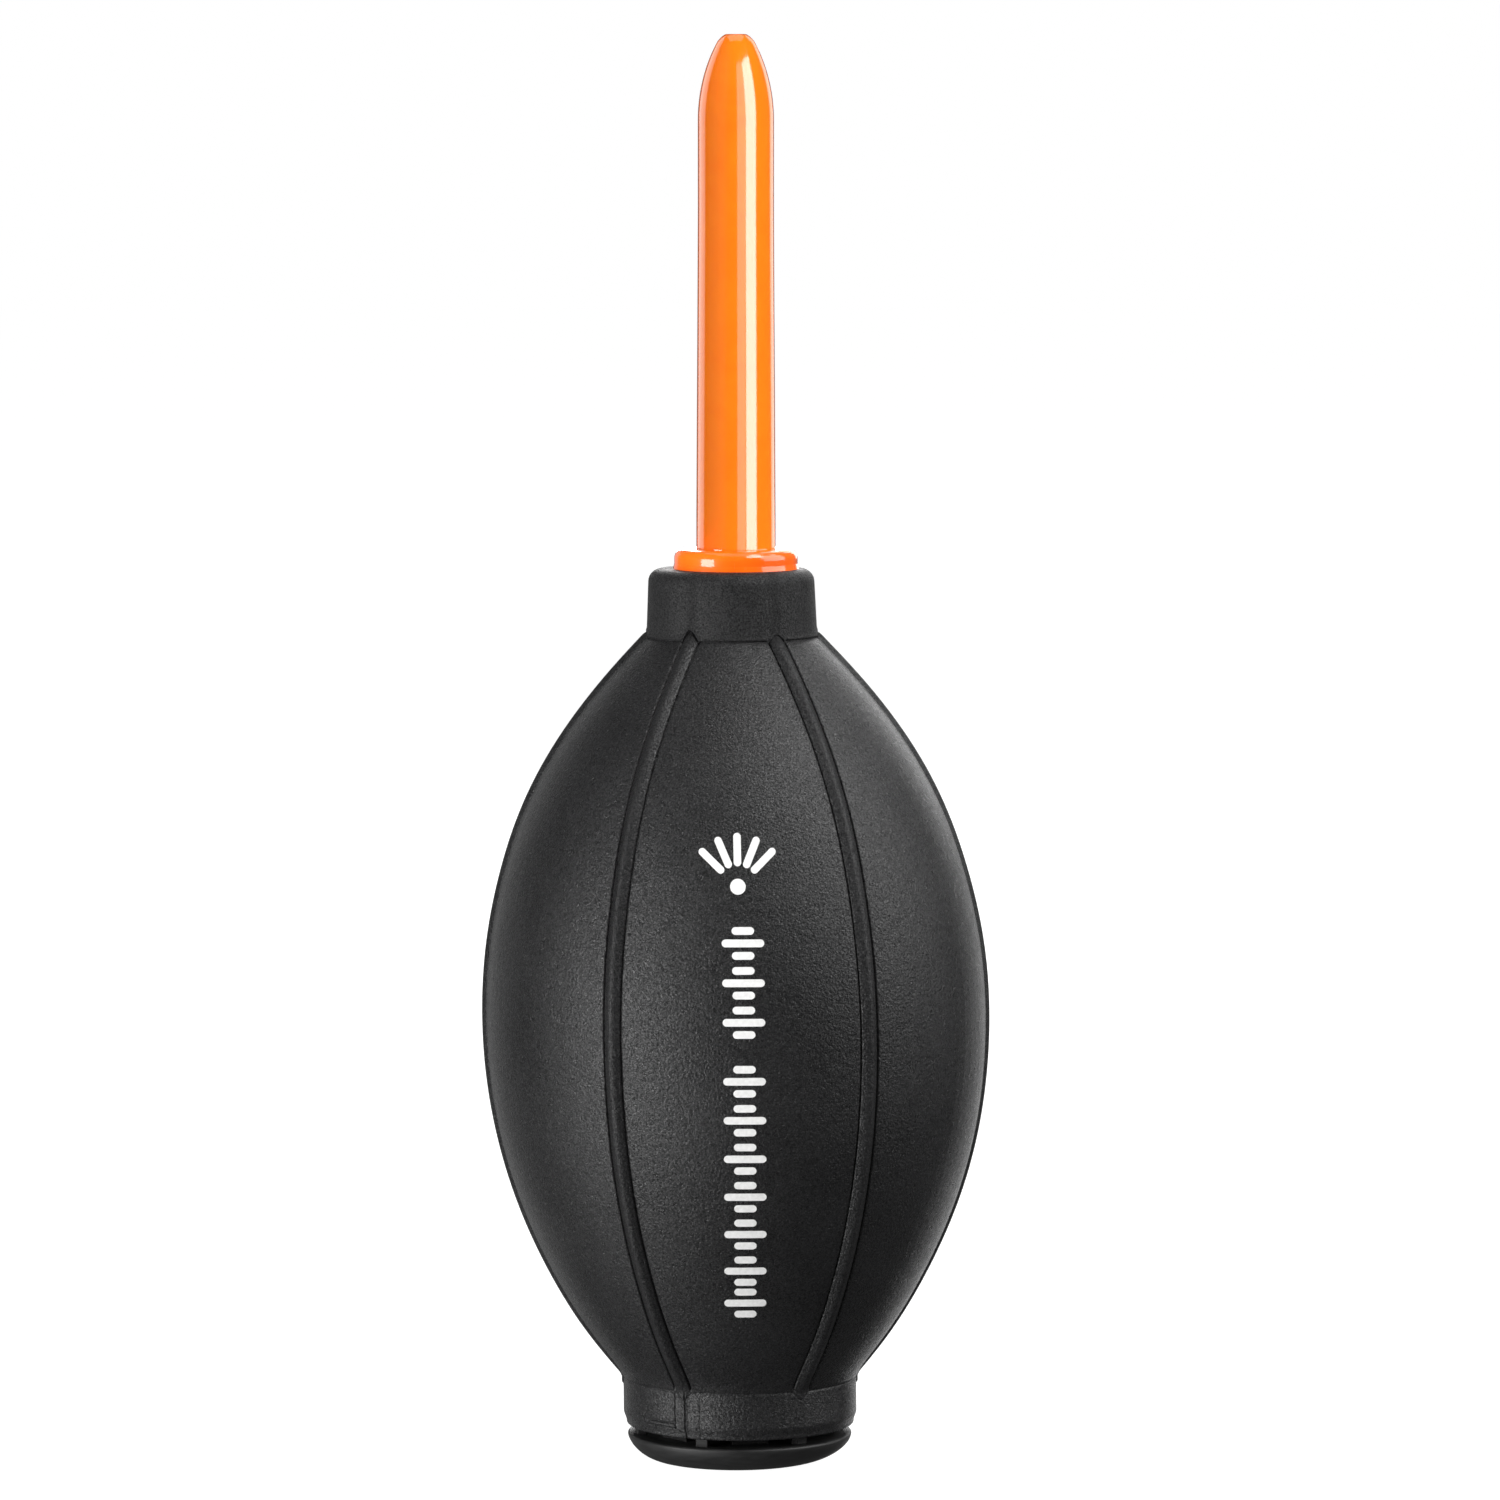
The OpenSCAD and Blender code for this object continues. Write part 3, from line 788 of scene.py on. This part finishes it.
def orange(name, low, high, rough_low, rough_high, coat_rough, coat_ior):
    f = Finish(name)
    streak = f.noise(0.5, 2, 0.5, 0, f.stretch(1, 1, 0.06))
    specks = f.noise(9, 2)
    swirl = f.noise(0.16, 3, 0.5, 1.2)
    colour = f.blend(f.level(swirl, 0.3, 0.7, 0, 1), low, high)
    scratches = f.noise(1.6, 4, 0.7, 0.4, f.stretch(1, 1, 0.12))
    rough = f.level(scratches, 0.35, 0.75, rough_low, rough_high)
    normal = f.bump(streak, 0.012, 0.4)
    normal = f.bump(specks, 0.0008, 0.3, normal)
    return f.set(colour=colour, rough=rough, normal=normal, specular=0.15, coat=1.0, coat_rough=coat_rough,
                 coat_ior=coat_ior, scatter=0.05, scatter_scale=0.0006)


def black_plastic(name, tone, rough_low, rough_high):
    f = Finish(name)
    streaks = f.noise(1.2, 3, 0.6, 0.3, f.stretch(0.35, 0.35, 3.5))
    texture = f.noise(7, 2, 0.5)
    colour = f.blend(f.level(streaks, 0.35, 0.7, 0, 1), (tone * 0.8,) * 3, (tone * 1.5,) * 3)
    rough = f.level(streaks, 0.3, 0.7, rough_low, rough_high)
    normal = f.bump(streaks, 0.02, 0.35)
    normal = f.bump(texture, 0.005, 0.5, normal)
    return f.set(colour=colour, rough=rough, normal=normal, specular=0.4)


def ink():
    f = Finish("white_ink", "rest")
    mottled = f.noise(2.2, 4, 0.6)
    grain = f.noise(4.5, 3, 0.65)
    colour = f.blend(f.level(mottled, 0.3, 0.7, 0, 1), (0.72, 0.72, 0.71), (0.86, 0.86, 0.85))
    rough = f.level(mottled, 0.3, 0.7, 0.5, 0.62)
    return f.set(colour=colour, rough=rough, normal=f.bump(grain, 0.01, 0.6), specular=0.3)


def silicone():
    f = Finish("milky_silicone")
    haze = f.noise(0.8, 3)
    colour = f.blend(haze, (0.62, 0.6, 0.54), (0.76, 0.75, 0.7))
    rough = f.level(f.noise(3, 3), 0.3, 0.7, 0.32, 0.45)
    return f.set(colour=colour, rough=rough, normal=f.bump(f.noise(5, 2), 0.004, 0.5), scatter=0.4,
                 scatter_scale=0.0015)


def foam():
    f = Finish("open_cell_foam")
    cells = f.cells(1.9)
    walls = f.level(cells, 0.02, 0.2, 1, 0)
    # Painted shade: the hollows of the cells are coloured darker than their walls
    colour = f.blend(walls, (0.03, 0.032, 0.035), (0.13, 0.135, 0.14))
    return f.set(colour=colour, rough=f.level(cells, 0, 0.3, 0.8, 0.95), normal=f.bump(walls, 0.12, 0.8),
                 sheen=0.2, specular=0.2)


def steel():
    f = Finish("stainless_wire")
    drawn = f.noise(6, 2, 0.5, 0, f.stretch(1, 1, 0.2))
    colour = f.blend(f.noise(0.7, 3), (0.48, 0.49, 0.5), (0.62, 0.63, 0.64))
    rough = f.level(drawn, 0.3, 0.7, 0.24, 0.4)
    return f.set(colour=colour, rough=rough, normal=f.bump(drawn, 0.004, 0.5), metal=1.0)


def seal():
    f = Finish("seal_rubber_smooth")
    colour = f.blend(f.noise(1.5, 3), (0.008, 0.008, 0.0085), (0.016, 0.016, 0.017))
    rough = f.level(f.noise(4, 3), 0.3, 0.7, 0.38, 0.52)
    return f.set(colour=colour, rough=rough, normal=f.bump(f.noise(8, 2), 0.003, 0.5), specular=0.4)


def paint(obj, mat):
    obj.data.materials.clear()
    obj.data.materials.append(mat)
    return obj


# ---------------------------------------------------------------- stage
def floor_finish():
    f = Finish("pale_floor")
    tone = f.blend(f.noise(0.004, 3), (0.24, 0.24, 0.24), (0.26, 0.26, 0.26))
    f.bsdf.inputs["Emission Color"].default_value = (1, 1, 1, 1)
    f.bsdf.inputs["Emission Strength"].default_value = 0.975
    return f.set(colour=tone, rough=0.85, specular=0.0)


def backdrop_finish():
    mat = bpy.data.materials.new("pale_backdrop")
    mat.use_nodes = True
    tree = mat.node_tree
    tree.nodes.clear()
    out = tree.nodes.new("ShaderNodeOutputMaterial")
    glow = tree.nodes.new("ShaderNodeEmission")
    glow.inputs["Color"].default_value = (1, 1, 1, 1)
    glow.inputs["Strength"].default_value = 1.0
    tree.links.new(glow.outputs["Emission"], out.inputs["Surface"])
    return mat


def stage():
    size = 5.0  # metres
    corners = [(-size, -size, 0), (size, -size, 0), (size, size, 0), (-size, size, 0)]
    mesh = bpy.data.meshes.new("floor")
    mesh.from_pydata(corners, [], [(0, 1, 2, 3)])
    floor = paint(add_object("floor", mesh), floor_finish())
    bm = bmesh.new()
    bmesh.ops.create_uvsphere(bm, u_segments=48, v_segments=24, radius=size * 0.95)
    dome_mesh = bpy.data.meshes.new("backdrop")
    bm.to_mesh(dome_mesh)
    bm.free()
    dome = paint(add_object("backdrop", dome_mesh), backdrop_finish())
    for obj in (floor, dome):
        obj.visible_diffuse = obj.visible_glossy = obj.visible_transmission = False
    floor.visible_shadow = dome.visible_shadow = False


# What each panel of light falls on, its azimuth from the front towards the right, the heights of its lower
# and upper edge, its distance from the axis, its width and its radiance in W per square metre and steradian
SOFTBOXES = {
    "gloss_key": ("gloss", 45.5, 0, 700, 700, 440, 7.5),
    "gloss_feather": ("gloss", 15, 0, 700, 700, 320, 1.7),
    "gloss_edge_left": ("gloss", -130, -300, 800, 700, 520, 1.3),
    "gloss_edge_right": ("gloss", 140, -300, 800, 700, 340, 1.4),
    "left": ("satin", -56, -250, 320, 700, 330, 11.2),
    "low_left": ("satin", -60, -800, -300, 700, 400, 4.0),
    "right": ("satin", 78, 60, 900, 700, 760, 3.9),
    "top_right": ("satin", 50, 650, 1000, 450, 450, 9.0),
    "edge_left": ("satin", -154, -300, 350, 700, 340, 0.35),
    "edge_right": ("satin", 160, 50, 900, 700, 300, 2.1),
    "edge_right_low": ("satin", 160, -300, 50, 700, 300, 0.95),
    "back": ("satin", 180, 100, 900, 700, 200, 7.0),
    "orange_fill": ("orange", -60, -100, 700, 600, 700, 2.0),
    "orange_back_fill": ("orange", 180, -100, 700, 600, 900, 1.6),
}
HIGHEST_AIM = 200
OVERHEAD_Y, OVERHEAD_Z, OVERHEAD_SIZE, OVERHEAD_RADIANCE = 100, 900, 700, 1.0
OVERHEAD_AIM = 80


def area_light(name, place, aim, width, depth, radiance):
    """A rectangular panel of light that the camera doesn't see."""
    light = bpy.data.lights.new(name, "AREA")
    light.shape = "RECTANGLE"
    light.size = width * MM
    light.size_y = depth * MM
    light.energy = radiance * math.pi * light.size * light.size_y
    obj = bpy.data.objects.new(name, light)
    bpy.context.scene.collection.objects.link(obj)
    obj.location = Vector(place) * MM
    obj.rotation_mode = "QUATERNION"
    obj.rotation_quaternion = ((Vector(aim) - Vector(place)) * MM).to_track_quat("-Z", "Y")
    obj.visible_camera = False
    return obj


def softbox(name, lit, azimuth, low, high, distance, width, radiance):
    a = math.radians(azimuth)
    middle = (low + high) / 2
    place = (math.sin(a) * distance, -math.cos(a) * distance, middle)
    obj = area_light(name, place, (0, 0, min(middle, HIGHEST_AIM)), width, high - low, radiance)
    obj.light_linking.receiver_collection = lit
    return obj


def group(name, keep):
    """A collection of the pieces for which keep(name) holds."""
    lit = bpy.data.collections.new(name)
    for obj in bpy.context.scene.objects:
        if obj.type == "MESH" and keep(obj.name):
            lit.objects.link(obj)
    return lit


def lights():
    """A studio in which the glossy nozzle has soft boxes of its own, and so have the satin pieces."""
    lit = {
        "gloss": group("lit_as_gloss", lambda n: n == "nozzle_body"),
        "satin": group("lit_as_satin", lambda n: n != "nozzle_body"),
        "orange": group("lit_as_orange", lambda n: n == "nozzle_body" or n.startswith("nozzle_socket")),
    }
    for name, (kind, *values) in SOFTBOXES.items():
        box = softbox(name, lit[kind], *values)
        box.visible_glossy = kind != "orange"
    place, aim = (0, OVERHEAD_Y, OVERHEAD_Z), (0, 0, OVERHEAD_AIM)
    area_light("overhead", place, aim, OVERHEAD_SIZE, OVERHEAD_SIZE, OVERHEAD_RADIANCE)
    world = bpy.data.worlds.new("studio")
    bpy.context.scene.world = world
    world.use_nodes = True
    back = world.node_tree.nodes["Background"]
    back.inputs["Color"].default_value = (1, 1, 1, 1)
    back.inputs["Strength"].default_value = 0.1
    bpy.context.scene.view_settings.view_transform = "Standard"


def camera():
    turn = math.radians(CAMERA_TURN)
    data = bpy.data.cameras.new("camera")
    data.lens = LENS
    data.sensor_width = SENSOR
    data.clip_start, data.clip_end = 0.05, 50
    obj = bpy.data.objects.new("camera", data)
    bpy.context.scene.collection.objects.link(obj)
    x = math.sin(turn) * CAMERA_DISTANCE + math.cos(turn) * CAMERA_ASIDE
    y = -math.cos(turn) * CAMERA_DISTANCE + math.sin(turn) * CAMERA_ASIDE
    obj.location = Vector((x, y, CAMERA_HEIGHT)) * MM
    obj.rotation_euler = (math.radians(90 - CAMERA_PITCH), 0, turn)
    bpy.context.scene.camera = obj


# ---------------------------------------------------------------- assembly
def dress():
    rubber_mat = rubber()
    front = paint(bulb_half("bulb_front_half", -180), rubber_mat)
    rear = paint(bulb_half("bulb_rear_half", 0), rubber_mat)
    mark = paint(printed_graphic(), ink())
    for obj, wall, side in ((front, "front_wall", -1), (rear, "rear_wall", 1), (mark, "front_wall", -1)):
        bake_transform(obj)
    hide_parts("bulb", "front_squeeze_wall")
    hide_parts("rear_squeeze_wall")

    bright = orange("orange_gloss_moulded", (0.98, 0.185, 0.001), (1.0, 0.21, 0.002), 0.14, 0.2, 0.1, 1.75)
    deep = orange("deep_orange_moulded", (0.95, 0.12, 0.002), (0.98, 0.14, 0.004), 0.22, 0.3, 0.08, 1.5)
    tube = paint(nozzle(), bright)
    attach(tube, "nozzle")
    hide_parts("nozzle")
    paint(NODES["nozzle_socket"], deep)

    cap_mat = black_plastic("black_plastic_satin", 0.010, 0.46, 0.62)
    # Painted shade: the tabs, prongs and inside pieces get a darker copy of the cap's black plastic, with a
    # rougher finish, so the air slot reads as shaded
    shaded_inner_plastic = black_plastic("black_plastic_inner", 0.006, 0.6, 0.75)
    plate, grips = base_cap()
    for obj, mat in ((plate, cap_mat), (grips, shaded_inner_plastic)):
        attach(paint(obj, mat), "base")
    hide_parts("base_cap")
    disc = paint(foam_disc(), foam())
    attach(disc, "base")
    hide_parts("filter_foam")

    # These inside pieces get the darker plastic that paints the slot's shade
    for node in ("outlet_valve_seat", "intake_housing", "intake_valve_washer", "filter_retainer"):
        paint(NODES[node], shaded_inner_plastic)
    soft = silicone()
    for node in ("outlet_valve_flap", "intake_valve"):
        paint(NODES[node], soft)
    paint(NODES["filter_mesh"], steel())
    seal_mat = seal()
    for node in ("nozzle_o_ring", "foot_pads"):
        paint(NODES[node], seal_mat)


dress()
stage()
lights()
camera()
